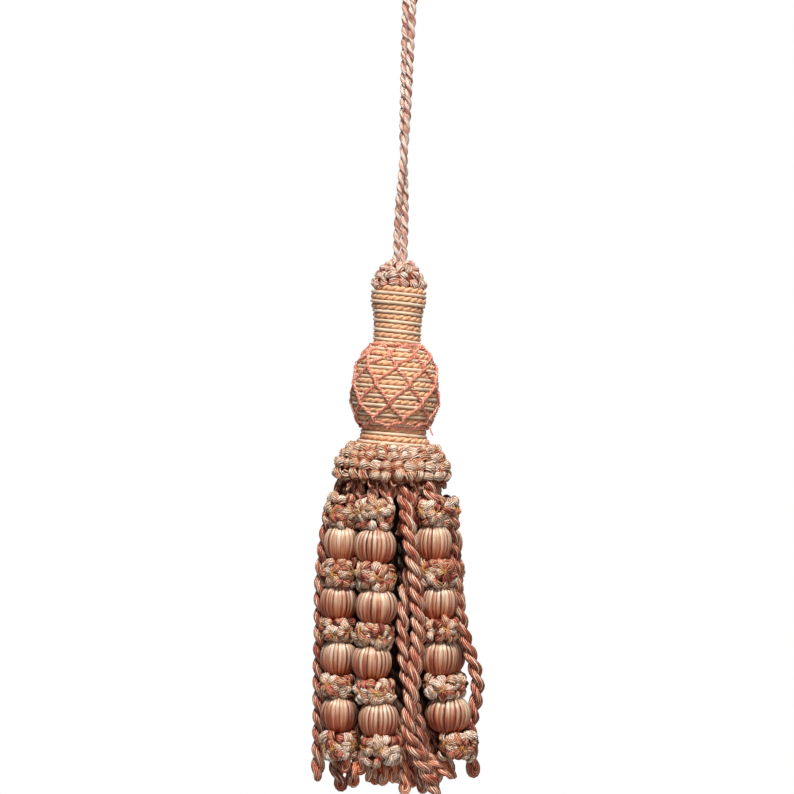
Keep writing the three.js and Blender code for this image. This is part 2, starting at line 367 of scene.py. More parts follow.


# colours: from a strand's darkest threads to its palest; deep: painted shade between threads, grooves: how
# much
# lay: how far along the strand a thread winds once round it; threads: how many lie around it
# drift, hair: how fast the colour and the stray fibres with their painted highlight change along it; drifts,
# hairs: how much
# mixed: how far threads differ; toned: how far strands differ; base: how pale it is as a whole
usualLook = {"drifts": 1.4, "hairs": 0.5, "roughness": 0.42, "sheen": 0.1}
loopedLook = {
    "lay": -5 * mm, "threads": 2, "drift": 7 * mm, "hair": 0.7 * mm, "mixed": 0.3, "toned": 1.0,
    "grooves": 1.0, "relief": 0.07 * mm, "sheen": 0.0, "gloss": 0.8,
}
threadLooks = {
    "loopCord": {
        "colours": [
            (0.0, (146, 74, 60)), (0.3, (196, 122, 102)),
            (0.6, (226, 178, 158)), (1.0, (250, 230, 214)),
        ],
        "deep": (130, 72, 64), "lay": -7 * mm, "threads": 6, "drift": 9 * mm, "hair": 0.9 * mm,
        "mixed": 0.95, "toned": 0.3, "base": 0.14, "grooves": 0.8,
        "relief": 0.12 * mm, "roughness": 0.4, "gloss": 0.5,
    },
    "goldCord": {
        "colours": [(0.0, (230, 162, 112)), (0.5, (242, 184, 140)), (1.0, (250, 206, 168))],
        "deep": (190, 112, 70), "lay": -4.5 * mm, "threads": 7, "drift": 6 * mm,
        "hair": 0.8 * mm, "mixed": 0.5, "toned": 0.2, "base": 0.25, "grooves": 0.3, "hairs": 0.3,
        "relief": 0.04 * mm, "gloss": 0.4,
    },
    "creamGimp": {
        "colours": [(0.0, (202, 168, 140)), (0.5, (228, 202, 174)), (1.0, (242, 224, 200))],
        "deep": (200, 170, 140), "lay": 0.45 * mm, "threads": 1, "drift": 5 * mm,
        "hair": 0.6 * mm, "mixed": 0.2, "toned": 0.2, "base": 0.4, "grooves": 0.2, "hairs": 0.3,
        "relief": 0.03 * mm, "roughness": 0.5, "gloss": 0.4,
    },
    "coralCord": {
        "colours": [(0.0, (212, 102, 76)), (0.5, (242, 150, 122)), (1.0, (254, 202, 178))],
        "deep": (150, 76, 64), "lay": -3 * mm, "threads": 4, "drift": 5 * mm, "hair": 0.6 * mm,
        "mixed": 0.8, "toned": 0.3, "base": 0.18, "grooves": 0.6, "hairs": 0.4,
        "relief": 0.05 * mm, "gloss": 0.5,
    },
    "ruffYarn": {
        **loopedLook,
        "colours": [
            (0.0, (104, 36, 18)), (0.1, (196, 92, 58)), (0.24, (222, 144, 102)),
            (0.4, (210, 168, 130)), (0.6, (218, 194, 164)), (1.0, (246, 232, 212)),
        ],
        "deep": (158, 56, 12), "base": 0.29,
    },
    "collarYarn": {
        **loopedLook,
        "colours": [
            (0.0, (96, 34, 20)), (0.1, (196, 98, 78)), (0.3, (226, 164, 142)),
            (0.55, (226, 194, 170)), (1.0, (250, 236, 220)),
        ],
        "deep": (140, 60, 38), "base": 0.37,
    },
    "tuftYarn": {
        **loopedLook,
        "colours": [
            (0.0, (96, 22, 10)), (0.1, (184, 72, 56)), (0.24, (216, 130, 106)),
            (0.4, (206, 154, 108)), (0.62, (224, 196, 164)), (1.0, (252, 236, 218)),
        ],
        "deep": (140, 38, 8), "threads": 3, "mixed": 0.25, "base": 0.22, "grooves": 0.9, "hairs": 0.4,
        "gloss": 0.7,
    },
    "goldTie": {
        "colours": [(0.0, (176, 100, 36)), (0.5, (216, 148, 70)), (1.0, (244, 200, 126))],
        "deep": (150, 84, 36), "lay": -3 * mm, "threads": 3, "drift": 4 * mm, "hair": 0.6 * mm,
        "mixed": 0.6, "toned": 0.3, "base": 0.25, "grooves": 0.5, "hairs": 0.3,
        "relief": 0.04 * mm, "roughness": 0.35, "gloss": 0.6,
    },
    "bullionCord": {
        "colours": [
            (0.0, (124, 32, 16)), (0.25, (186, 78, 50)), (0.5, (214, 120, 88)),
            (0.72, (236, 170, 136)), (1.0, (250, 224, 196)),
        ],
        "deep": (130, 24, 8), "lay": 20 * mm, "threads": 10, "drift": 5 * mm, "drifts": 3.0,
        "hair": 1.2 * mm, "mixed": 0.4, "toned": 0.1, "base": 0.37, "grooves": 1.3, "hairs": 0.7,
        "relief": 0.2 * mm, "roughness": 0.36, "sheen": 0.0, "gloss": 1.0,
    },
    # the bullion yarn again, painted paler and redder as painted light at the skirt's foot, with painted
    # shade above a given height
    "innerCordPaintedShading": {
        "colours": [
            (0.0, (150, 42, 14)), (0.3, (224, 98, 50)),
            (0.6, (252, 150, 100)), (1.0, (255, 228, 200)),
        ],
        "deep": (140, 30, 8), "lay": 19 * mm, "threads": 9, "drift": 6 * mm, "drifts": 2.8,
        "hair": 1.2 * mm, "mixed": 0.6, "toned": 0.3, "base": 0.42, "grooves": 1.1,
        # the last entry: painted shade above this height
        "relief": 0.2 * mm, "sheen": 0.0, "gloss": 0.6, "paintedShadeAbove": -247 * mm,
    },
}
threads = {name: threadMaterial(name, {**usualLook, **look}) for name, look in threadLooks.items()}
print("thread materials made")


hangingCord = {
    "diameter": 2.3 * mm,
    "ply": 0.68 * mm,  # radius of a ply
    "plyReach": 0.57 * mm,  # from the cord's middle to a ply's
    "pitch": 7.2 * mm,
    "step": 0.5 * mm,
    "tones": (0.35, 0.62),
}

# one leg, from inside the head up to the middle of the eye
legRoute = [
    (-1.1, 0, -105.6), (-1.1, 0, -98), (-1.08, -0.2, -88), (-0.9, -0.78, -80),
    (-0.48, -1.13, -72.6), (0, -1.23, -65), (0.48, -1.13, -57), (0.68, -1.02, -46),
    (0.84, -0.9, -36), (0.97, -0.75, -26), (1.1, -0.54, -19.5), (1.9, -0.3, -15.3),
    (3.6, -0.1, -11.2), (4.9, 0, -7.6), (5.2, 0, -4.2), (3.7, 0, -0.5),
]


def makeHangingCord():
    leg = np.array(legRoute) * mm
    middle = np.array([[0, 0, hangingCord["diameter"] / 2]])
    otherLeg = leg[::-1] * (-1, -1, 1)  # the same leg turned half round
    line = smoothLine(np.concatenate([leg, middle, otherLeg]), hangingCord["step"])
    yarn = Yarn("hanging_cord", 8)
    yarn.addCord(line, hangingCord, hangingCord["tones"])
    piece = yarn.finish(threads["loopCord"])
    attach(piece, "root")
    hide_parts("hanging_loop")


makeHangingCord()
print("hanging cord made")


winding = {
    "gold": 0.92 * mm,  # radius of the twisted cord
    "goldCord": {"ply": 0.59 * mm, "plyReach": 0.35 * mm, "pitch": 4.5 * mm},
    "tones": (0.4, 0.6),
    "gimp": 0.54 * mm,
    "rise": 2.84 * mm,  # one gold turn and one gimp turn
    "step": 0.36 * mm,
    "gimpStep": 0.9 * mm,
    "firstGold": -106.3 * mm,  # height of a gold turn at the front
    "above": 0.9 * mm,  # from the neck mould's top up to the first gold turn
    "gimpBelow": 1.2 * mm,  # from there down to the first gimp turn
    "stopShort": 9 * mm,  # above the foot's lower edge, under the ruff
    "proud": 0.2 * mm,  # how far the turns stand out of the mould's outline
    "bed": 1.0 * mm,  # from that outline in to the core
    "bedColour": (206, 150, 102),
    "usualRadius": 11 * mm,  # of the head, for the number of steps in a turn
}

# each mould's outline: share of its height from the top, share of its radius
neckOutline = [(0, 0.905), (0.06, 0.988), (0.256, 1.0), (0.463, 0.893), (0.73, 0.857), (1, 0.857)]
footOutline = [(0, 0.81), (0.16, 0.843), (0.323, 1.0), (1, 1.0)]


def ballRadiusAt(share):
    widest = 0.6
    reach = 0.715 if share < widest else 0.6
    return math.sqrt(1 - ((share - widest) / reach) ** 2)


ballOutline = [(share, ballRadiusAt(share)) for share in np.linspace(0, 1, 15)]


def headOutline():
    # heights and radii of the whole wound head, from the top down
    rows = []
    moulds = {"neck_mould": neckOutline, "ball_mould": ballOutline, "foot_mould": footOutline}
    for node, outline in moulds.items():
        top, bottom, radius = nodeTop(node), nodeBottom(node), nodeRadius(node)
        for share, width in outline:
            rows.append((top + (bottom - top) * share, radius * width))
    return np.array(rows)


headRows = headOutline()


def headRadius(z):
    return np.interp(-z, -headRows[:, 0], headRows[:, 1])


def woundLine(startZ, endZ, frontZ, inset, step):
    # a line wound down the head; it passes the front at frontZ and falls to the right
    rise = winding["rise"]
    firstTurn = (frontZ - startZ) / rise
    lastTurn = (frontZ - endZ) / rise
    count = int((lastTurn - firstTurn) * 2 * math.pi * winding["usualRadius"] / step)
    turns = np.linspace(firstTurn, lastTurn, count)
    z = frontZ - turns * rise
    return turnTo(turns * 360, headRadius(z) - inset, z)


def spun(outline, segments, closed=False):
    # turns a list of (radius, height) about the axis
    bm = bmesh.new()
    rows = [bm.verts.new((radius, 0, z)) for radius, z in outline]
    nextRows = rows[1:] + rows[:1] if closed else rows[1:]
    edges = [bm.edges.new(pair) for pair in zip(rows, nextRows)]
    bmesh.ops.spin(
        bm, geom=rows + edges, cent=(0, 0, 0), axis=(0, 0, 1), dvec=(0, 0, 0),
        angle=2 * math.pi, steps=segments, use_merge=True, use_duplicate=False,
    )
    bmesh.ops.remove_doubles(bm, verts=bm.verts, dist=1e-6)
    bmesh.ops.recalc_face_normals(bm, faces=bm.faces)
    return bm


def meshFrom(bm, name):
    mesh = bpy.data.meshes.new(name)
    bm.to_mesh(mesh)
    bm.free()
    return mesh


def makeBed(name, outline, material):
    # the plain core that windings or loops lie on
    return finished(name, meshFrom(spun(outline, 48), name), material)


def plainMaterial(name, display, roughness):
    material, at = newMaterial(name)
    grain = at.node("TexCoord", None, None, "Object").noise(detail=4.0, scale=900.0)
    shade = grain * 0.5 + 0.75
    tint = at.node("CombineColor", None, {0: shade, 1: shade, 2: shade})
    colour = mixColours(at, 1.0, linear(*display), tint, "MULTIPLY")
    normal = at.bump(grain, 0.05 * mm, 0.6)
    at.surface({"Base Color": colour, "Roughness": roughness, "Normal": normal})
    return material


def makeHead():
    start = nodeTop("neck_mould") + winding["above"]
    end = nodeBottom("foot_mould") + winding["stopShort"]
    gold = Yarn("gold_winding", 6)
    inset = winding["gold"] - winding["proud"]
    line = woundLine(start, end, winding["firstGold"], inset, winding["step"])
    gold.addCord(line, winding["goldCord"], winding["tones"])
    goldPiece = gold.finish(threads["goldCord"])
    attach(goldPiece, "root")
    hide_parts("neck_mould", "ball_mould", "foot_mould")
    gimp = Yarn("cream_gimp", 6)
    frontZ = winding["firstGold"] - winding["rise"] / 2
    inset = winding["gimp"] * 0.9 - winding["proud"]
    line = woundLine(start - winding["gimpBelow"], end, frontZ, inset, winding["gimpStep"])
    gimp.add(line, winding["gimp"])
    gimpPiece = gimp.finish(threads["creamGimp"])
    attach(gimpPiece, "root")
    outline = [(0, headRows[0, 0])]
    outline += [(radius - winding["bed"], z) for z, radius in headRows]
    outline += [(0, headRows[-1, 0])]
    core = makeBed("head_mould", outline, plainMaterial("windingBed", winding["bedColour"], 0.7))
    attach(core, "root")


makeHead()
print("head wound")


net = {
    "columns": 8,
    "ply": 0.3 * mm,
    "plyReach": 0.28 * mm,
    "pitch": 2.2 * mm,
    "step": 0.32 * mm,
    "lift": 0.28 * mm,  # off the wound ball
    "knotLift": 0.1 * mm,  # more than that
    "knotHeight": 0.8 * mm,  # half of it
    "knotReach": 0.34 * mm,
    "tones": (0.3, 0.7),
    "ring": {"ply": 0.27 * mm, "plyReach": 0.24 * mm, "pitch": 1.7 * mm, "lift": 0.05 * mm, "outside": 0.3},
    "tail": 0.24 * mm,  # radius of the loose end
}
# rows of knots: distance below the ball's top and the turn of one knot
netRows = [(0.9, -28), (3.4, -12), (7.1, 0), (12.3, 19), (18.2, 38), (23.4, 59), (25.4, 80)]
# the net's loose end, at the right of the ball's foot
netTail = [(10.2, -5.4, -147.0), (11.0, -5.6, -148.0), (11.4, -5.5, -149.2), (11.9, -5.7, -150.2)]


def netPoint(turn, z, out=0.0):
    return turnTo(turn, headRadius(z) + net["lift"] + out, z)


def netStrand(column, leanBack):
    top = nodeTop("ball_mould")
    spacing = 360 / net["columns"]
    points = []
    for index, (below, turn) in enumerate(netRows):
        turn = turn + spacing * column - leanBack * index
        z = top - below * mm
        if index in (0, len(netRows) - 1):
            points.append(netPoint(turn, z))
            continue
        for share in np.linspace(-1, 1, 7):  # both strands wind round each other in the knot
            angle = (0 if leanBack else math.pi) + (share + 1) / 2 * 3 * math.pi
            aside = math.degrees(net["knotReach"] * math.cos(angle) / headRadius(z))
            out = net["knotReach"] * math.sin(angle)
            points.append(netPoint(turn + aside, z - share * net["knotHeight"], out + net["knotLift"]))
        nextBelow, nextTurn = netRows[index + 1]
        nextTurn = nextTurn + spacing * column - leanBack * (index + 1)
        middle = (z + top - nextBelow * mm) / 2
        points.append(netPoint((turn + nextTurn) / 2, middle))
    return smoothLine(points, net["step"])


def makeNet():
    yarn = Yarn("coral_net", 4)
    spacing = 360 / net["columns"]
    for leanBack in (0, spacing):
        for column in range(net["columns"]):
            line = netStrand(column, leanBack)
            yarn.addCord(line, net, rng.uniform(*net["tones"], 2), firstNormal=line[0] * (1, 1, 0))
    top = nodeTop("ball_mould")
    ring = net["ring"]
    for below in (netRows[0][0] - ring["outside"], netRows[-1][0] + ring["outside"]):
        turns = np.linspace(0, 360, 260)
        line = netPoint(turns, np.full(len(turns), top - below * mm), ring["lift"])
        yarn.addCord(line, ring, rng.uniform(*net["tones"], 2))
    yarn.add(smoothLine(np.array(netTail) * mm, 0.5 * mm), net["tail"], 0.3)
    piece = yarn.finish(threads["coralCord"])
    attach(piece, "root")
    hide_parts("ball_net")


makeNet()
print("net knotted")


def addLobe(yarn, centre, outward, along, lobe, tone):
    # threads side by side: each arches over from one end to the other, close at the ends
    across = np.cross(along, outward)
    sweep = np.linspace(-0.1 * math.pi, 1.1 * math.pi, lobe["points"])[:, None]
    count = lobe["threads"]
    for index in range(count):
        side = (index / (count - 1) - 0.5) * 2
        line = (
            centre
            - along * np.cos(sweep) * lobe["length"] / 2 * (1 - 0.15 * side**2)
            + outward * np.sin(sweep) * lobe["height"] * (1 - 0.4 * side**2)
            + across * side * (lobe["width"] / 2 - lobe["thread"]) * (0.45 + 0.55 * np.sin(sweep))
        )
        shade = 0.65 * (np.clip(np.sin(sweep[:, 0]), 0, 1) - 0.7)  # painted shade at the ends, where the loop tucks in, and painted light on its crest
        # middle threads painted lighter and side threads darker: painted light on the crest and painted
        # shade where lobes meet; each thread also varies at random
        tint = tone + 0.1 * (1 - 2 * side**2) + rng.uniform(-0.3, 0.3)
        yarn.add(line, lobe["thread"] * rng.uniform(0.9, 1.1), tint, shade=shade)


collarRuff = {
    "yarn": "collarYarn",
    "thread": 0.31 * mm,
    "length": 3.1 * mm,
    "height": 1.9 * mm,
    "vary": 0.24,
    # rows from the top, in mm: height above the ruff's foot, reach, number of lobes,
    # threads in a lobe; then tilt and skew in degrees
    "rows": [
        (6.4, 3.0, 8, 5, 60, 90), (4.9, 4.4, 10, 5, 40, 90),
        (3.0, 5.6, 12, 5, 16, 90), (1.2, 6.4, 14, 5, -8, 90),
    ],
    # outline of the bed under the loops, in mm: reach, height above the ruff's foot
    "bed": [(0.05, 0.1), (6.3, 0.1), (6.9, 1.4), (6.1, 3.2), (4.6, 5.0), (2.6, 6.2), (0.05, 6.6)],
    "hanging": 0,
}
skirtRuff = {
    "yarn": "ruffYarn",
    "thread": 0.31 * mm,
    "length": 4.1 * mm,
    "height": 2.5 * mm,
    "vary": 0.12,  # how much the lobes differ in length, as a share
    "rows": [
        (9.2, 12.6, 27, 7, 62, 22), (7.2, 14.2, 28, 7, 48, 30),
        (4.9, 15.2, 29, 7, 30, 40), (2.6, 15.6, 30, 6, -6, 85),
    ],
    "bed": [(1.0, 0.2), (1.0, 10.8), (13.6, 10.4), (15.6, 7.0), (16.5, 3.6), (15.6, 0.6)],
    "hanging": 20,  # small loops that hang out below
    "hangingReach": 15.4 * mm,
}
ruffTones = [0.36, 0.48, 0.58, 0.68]  # rose to cream
threadApart = 1.75  # between threads in a loop, in radii of a thread
# the bed under the loops is dark brown: painted shade in the gaps between them
paintedShadeBed = plainMaterial("paintedShadeBed", (116, 52, 28), 0.8)


def lobeOf(ruff, count):
    return {
        "points": 8,
        "threads": count,
        "thread": ruff["thread"],
        "length": ruff["length"] * rng.uniform(1 - ruff["vary"], 1 + ruff["vary"]),
        "height": ruff["height"] * rng.uniform(0.85, 1.2),
        "width": ruff["thread"] * threadApart * count * rng.uniform(0.95, 1.1),
    }


def makeRuff(name, node, ruff):
    yarn = Yarn(name, 4)
    foot = nodeBottom(node)
    for index, (above, reach, lobes, count, tilt, skew) in enumerate(ruff["rows"]):
        for k in range(lobes):
            turn = 360 * (k + 0.5 * (index // 2) + rng.uniform(-0.14, 0.14)) / lobes
            rise = math.radians(tilt + rng.uniform(-12, 12))
            outward = turnTo(turn, math.cos(rise), math.sin(rise))
            along = slanted(turn, outward, rng.uniform(-skew, skew))
            away = (reach + rng.uniform(-0.3, 0.3)) * mm
            height = foot + (above + rng.uniform(-0.35, 0.35)) * mm
            centre = turnTo(turn, away, height)
            addLobe(yarn, centre, outward, along, lobeOf(ruff, count), rng.choice(ruffTones))
    for k in range(ruff["hanging"]):
        turn = 360 * (k + rng.uniform(-0.35, 0.35)) / ruff["hanging"]
        centre = turnTo(turn, ruff["hangingReach"], foot + rng.uniform(0.3, 1.6) * mm)
        outward = turnTo(turn, 0.4, -0.92)
        along = slanted(turn, outward, rng.uniform(-50, 50))
        lobe = lobeOf(ruff, rng.integers(2, 5))
        lobe["length"] *= rng.uniform(0.3, 0.6)
        lobe["height"] *= rng.uniform(0.8, 1.3)
        addLobe(yarn, centre, outward, along, lobe, rng.choice(ruffTones))
    piece = yarn.finish(threads[ruff["yarn"]])
    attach(piece, "root")
    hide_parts(node)
    outline = [(reach * mm, foot + above * mm) for reach, above in ruff["bed"] + ruff["bed"][:1]]
    bed = makeBed(name + "_bed", outline, paintedShadeBed)
    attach(bed, "root")


makeRuff("collar_loops", "collar_ruff", collarRuff)
makeRuff("ruff_loops", "skirt_ruff", skirtRuff)
print("ruffs made")


stringNames = ["left", "front", "right", "right_back", "back", "left_back"]
bead = {
    "ribs": 24,
    "steps": 5,  # faces across a rib
    "rings": 15,
    "groove": 0.045,  # depth of the grooves between ribs, as a share of the radius
    "height": 12.0 * mm,
    "roundness": 2.12,
    "hole": 1.2 * mm,
    "holeDepth": 0.7,  # share of half the bead's height
    "pole": 0.04,  # share of half a turn that the hole takes at each end
    "widen": 1.03,
}
satin = {
    # a rib's colours, from rose to cream, and those of the lines between ribs
    "ribStops": [
        (0.0, (124, 44, 28)), (0.22, (176, 102, 80)), (0.42, (206, 150, 122)),
        (0.6, (224, 190, 158)), (0.8, (234, 214, 188)), (1.0, (248, 236, 218)),
    ],
    "lineStops": [(0.0, (88, 20, 12)), (0.4, (124, 44, 30)), (0.75, (156, 76, 50)), (1.0, (190, 116, 76))],
    # from foot to top: painted shade at the foot and painted light high on the bead, as from a lamp above
    "paintedShadingStops": [
        (0.0, (214, 128, 88)), (0.2, (223, 140, 99)), (0.5, (211, 186, 177)),
        (0.82, (239, 236, 234)), (1.0, (215, 190, 178)),
    ],
    "ribsVary": 0.32,  # how far the ribs differ
    "everyOther": 0.1,  # how much paler every other rib is
    "streaks": 1.7,  # how far the threads within a rib differ
    "paler": 0.24,  # how much paler it is at the top: painted light from above
    "base": 0.23,
    # lines between ribs: how far from a rib's middle they start, and how that varies
    "lineStart": 0.42,
    "lineVary": 0.5,
    "lineRagged": 0.7,
    "lineSharp": 3.2,
    "relief": 0.14 * mm,
    "roughness": 0.43,
    "glint": (1.0, 0.82, 0.68, 1),
}


def satinMaterial():
    # the UV map counts ribs around the bead and goes from its foot to its top
    material, at = newMaterial("satinFloss")
    place = at.node("UVMap", {"uv_map": "UVMap"})
    around, level = place.part(0), place.part(1)
    seed = at.attribute("tone") * 977.0
    rib = around.math("FLOOR")
    across = around - rib
    ribChance = at.vector(rib, seed, 0.0).chance()
    every = (rib * 0.5).math("FRACT") * 2.0  # 0 and 1 in turn
    line = (around + 0.5).math("FLOOR")
    lineChance = at.vector(line, seed, 5.0).chance()
    fine = at.vector(around * 3.6, seed, level * 1.6).noise(roughness=0.6)
    tint = ribChance * satin["ribsVary"] + every * satin["everyOther"]
    # the level term is painted light: paler towards the top
    tint = tint + (fine - 0.5) * satin["streaks"] + level * satin["paler"] + satin["base"]
    colour = tint.clamp().ramp(satin["ribStops"])
    dark = (lineChance + (fine - 0.5) * 0.3).clamp().ramp(satin["lineStops"])
    offMiddle = (across - 0.5).math("ABSOLUTE") * 2.0
    share = offMiddle + (fine - 0.5) * satin["lineRagged"] - satin["lineStart"]
    share = (share - lineChance * satin["lineVary"]) * satin["lineSharp"]
    colour = mixColours(at, share.clamp(), colour, dark)
    # painted shade towards the bead's foot and painted light high on it
    colour = mixColours(at, 1.0, colour, level.ramp(satin["paintedShadingStops"]), "MULTIPLY")
    height = (1 - offMiddle * offMiddle) * 0.5 + fine
    at.surface({
        "Base Color": colour, "Roughness": satin["roughness"] + (fine - 0.5) * 0.3,
        "Normal": at.bump(height, satin["relief"]),
        "Anisotropic": 0.6, "Specular IOR Level": 0.9, "Specular Tint": satin["glint"],
    })
    return material


satinFloss = satinMaterial()


def makeBead(name, node):
    low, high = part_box(node)
    centre = (low + high) / 2
    half = bead["height"] / 2
    radius = max(high.x - low.x, high.y - low.y) / 2 * bead["widen"]
    hole, depth = bead["hole"], bead["holeDepth"] * half
    outline = [(hole, depth)]
    for ring in range(bead["rings"] + 1):
        level = math.cos(math.pi * (bead["pole"] + (1 - 2 * bead["pole"]) * ring / bead["rings"]))
        width = (1 - abs(level) ** bead["roundness"]) ** (1 / bead["roundness"])
        outline.append((max(width * radius, hole), level * half))
    outline.append((hole, -depth))
    bm = spun(outline, bead["ribs"] * bead["steps"], closed=True)
    layer = bm.loops.layers.uv.new("UVMap")
    start = rng.uniform(0, 1)
    for face in bm.faces:
        middle = face.calc_center_median()
        faceTurn = math.atan2(middle.y, middle.x)
        for loop in face.loops:
            co = loop.vert.co
            turn = math.atan2(co.y, co.x)
            turn += 2 * math.pi * round((faceTurn - turn) / (2 * math.pi))
            loop[layer].uv = (turn / (2 * math.pi) * bead["ribs"], co.z / half * 0.5 + 0.5)
    for vert in bm.verts:
        turn = math.atan2(vert.co.y, vert.co.x) / (2 * math.pi) * bead["ribs"]
        offMiddle = abs(turn - math.floor(turn + 1e-4) - 0.5) * 2
        if vert.co.xy.length > hole * 1.3:
            vert.co.xy *= 1 - bead["groove"] * offMiddle**2
    spin = Matrix.Rotation(start * wholeTurn, 3, "Z")
    bmesh.ops.rotate(bm, verts=bm.verts, cent=(0, 0, 0), matrix=spin)
    bmesh.ops.translate(bm, verts=bm.verts, vec=centre)
    mesh = meshFrom(bm, name)
    layer = mesh.attributes.new("tone", "FLOAT", "POINT")
    layer.data.foreach_set("value", np.full(len(mesh.vertices), start, dtype=np.float32))
    piece = finished(name, mesh, satinFloss)
    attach(piece, "root")
    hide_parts(node)


for string in stringNames:
    for index in range(1, 5):
        makeBead(f"floss_bead_{string}_{index}", f"bead_{string}_{index}")
print("beads covered")


tuft = {
    "radius": 6.2 * mm,
    "ties": [-104, -36, 34, 102],  # turns of the bows, away from the way the string faces
    "headings": [0, 50, 130, 180, 230, 310],  # directions of a bow's petals
    "threads": 6,
    "thread": 0.34 * mm,
    "spread": 0.52 * mm,  # between threads where a petal is widest
    "bulge": 1.6 * mm,
    "tieReach": 0.66,  # share of the radius at which the tie binds
    "overlap": -0.1 * mm,  # how far a tuft laps over the beads next to it
    "tieLength": 2.0 * mm,
    "tie": 0.17 * mm,
    # knobs of looped yarn in three rows of this many: level, reach as a share of the radius, tilt
    "knobs": 8,
    "knobRows": [(1, 0.68, 34), (-1, 0.68, -34), (0, 0.64, 0)],
    "knobInset": 1.5 * mm,  # of the first two rows' levels from the tuft's top and foot
    "knob": {
        "points": 7, "threads": 5, "thread": 0.34 * mm,
        "length": 3.3 * mm, "height": 1.6 * mm, "width": 3.1 * mm,
    },
    "lastHeight": 8.6 * mm,
    "firstDrop": 2.0 * mm,  # from the string's top
}
# the cord that runs through each string and up into the ruff
stringCord = {"ply": 0.5 * mm, "plyReach": 0.45 * mm, "pitch": 5 * mm, "step": 0.8 * mm, "up": 4 * mm}
tuftTones = [0.1, 0.35, 0.6, 0.75, 0.95]


def levelCentre(node, high, low):
    co = np.array([v.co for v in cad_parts[node].data.vertices])
    return co[(co[:, 2] < high) & (co[:, 2] > low)].mean(axis=0)


def addPetal(yarn, place, heading, reach, bulge, tone):
    # looped threads that fan out from the tie, arch over and tuck in under themselves
    acrossShare, upShare = math.cos(heading), math.sin(heading)
    count = tuft["threads"]
    sweep = np.linspace(0.05 * math.pi, 1.25 * math.pi, 7)
    for index in range(count):
        side = index - (count - 1) / 2
        out = place["reach"] + bulge * np.sin(sweep) * (1 - 0.07 * side**2)
        forward = reach * (1 - np.cos(sweep)) / 2 * (1 - 0.05 * side**2)
        beside = side * tuft["spread"] * np.sin(np.clip(sweep * 0.6, 0, math.pi)) ** 0.8
        across = forward * acrossShare - beside * upShare
        up = forward * upShare + beside * acrossShare
        angle = place["turn"] + np.degrees(across / place["bend"])
        line = turnTo(angle, out, up + place["lift"]) + place["centre"]
        # painted shade at the petal's ends, where it tucks in, and painted light across its middle
        shade = 0.6 * np.sin(sweep * 0.8) - 0.44
        thick = tuft["thread"] * rng.uniform(0.88, 1.12)
        yarn.add(line, thick, tone + rng.uniform(-0.12, 0.12), shade=shade)


def addKnobs(yarn, centre, level, reach, tilt, facing):
    for k in range(tuft["knobs"]):  # none on the side towards the skirt's middle
        turn = facing - 140 + 280 * (k + 0.5 + rng.uniform(-0.3, 0.3)) / tuft["knobs"]
        rise = math.radians(tilt + rng.uniform(-15, 15))
        outward = turnTo(turn, math.cos(rise), math.sin(rise))
        along = slanted(turn, outward, rng.uniform(-90, 90))
        place = centre + turnTo(turn, reach * rng.uniform(0.9, 1.08), level * rng.uniform(0.75, 1.25))
        addLobe(yarn, place, outward, along, tuft["knob"], rng.choice(tuftTones))


def addTuft(yarn, ties, centre, halfHeight, radius, facing):
    for level in (-0.5, 0, 0.5):  # the bound waist, given the darkest tone as painted shade between the petals
        ring = turnTo(np.linspace(0, 342, 20), radius * 0.38, level * halfHeight) + centre
        yarn.add(ring, radius * 0.24, -0.6, closed=True)
    for level, reach, tilt in tuft["knobRows"]:
        addKnobs(yarn, centre, level * (halfHeight - tuft["knobInset"]), radius * reach, tilt, facing)
    for tie in tuft["ties"]:
        place = {
            "centre": centre,
            "turn": facing + tie + rng.uniform(-10, 10),
            "lift": rng.uniform(-0.25, 0.3) * halfHeight,
            "reach": radius * tuft["tieReach"],
            "bend": radius * 0.85,
        }
        lean = rng.uniform(-35, 35)
        for heading in tuft["headings"]:
            heading = math.radians(lean + heading + rng.uniform(-14, 14))
            aside = math.cos(heading) / (radius * 0.6)
            up = math.sin(heading) / (halfHeight * 0.9)
            reach = 1 / math.hypot(aside, up)
            bulge = tuft["bulge"] * rng.uniform(0.7, 1.75)
            addPetal(yarn, place, heading, reach * rng.uniform(0.75, 1.45), bulge, rng.choice(tuftTones))
        for cross in range(4):  # gold threads crossing at the tie
            heading = math.radians(lean + 45 * cross + rng.uniform(-16, 16))
            steps = np.linspace(-1, 1, 7)
            across = steps * tuft["tieLength"] * math.cos(heading)
            up = steps * tuft["tieLength"] * math.sin(heading)
            out = place["reach"] + (1.8 - 0.5 * steps**2 + 0.1 * cross) * mm
            angle = place["turn"] + np.degrees(across / place["bend"])
            line = turnTo(angle, out, up + place["lift"]) + centre
            ties.add(line, tuft["tie"], rng.uniform(0.3, 0.8))


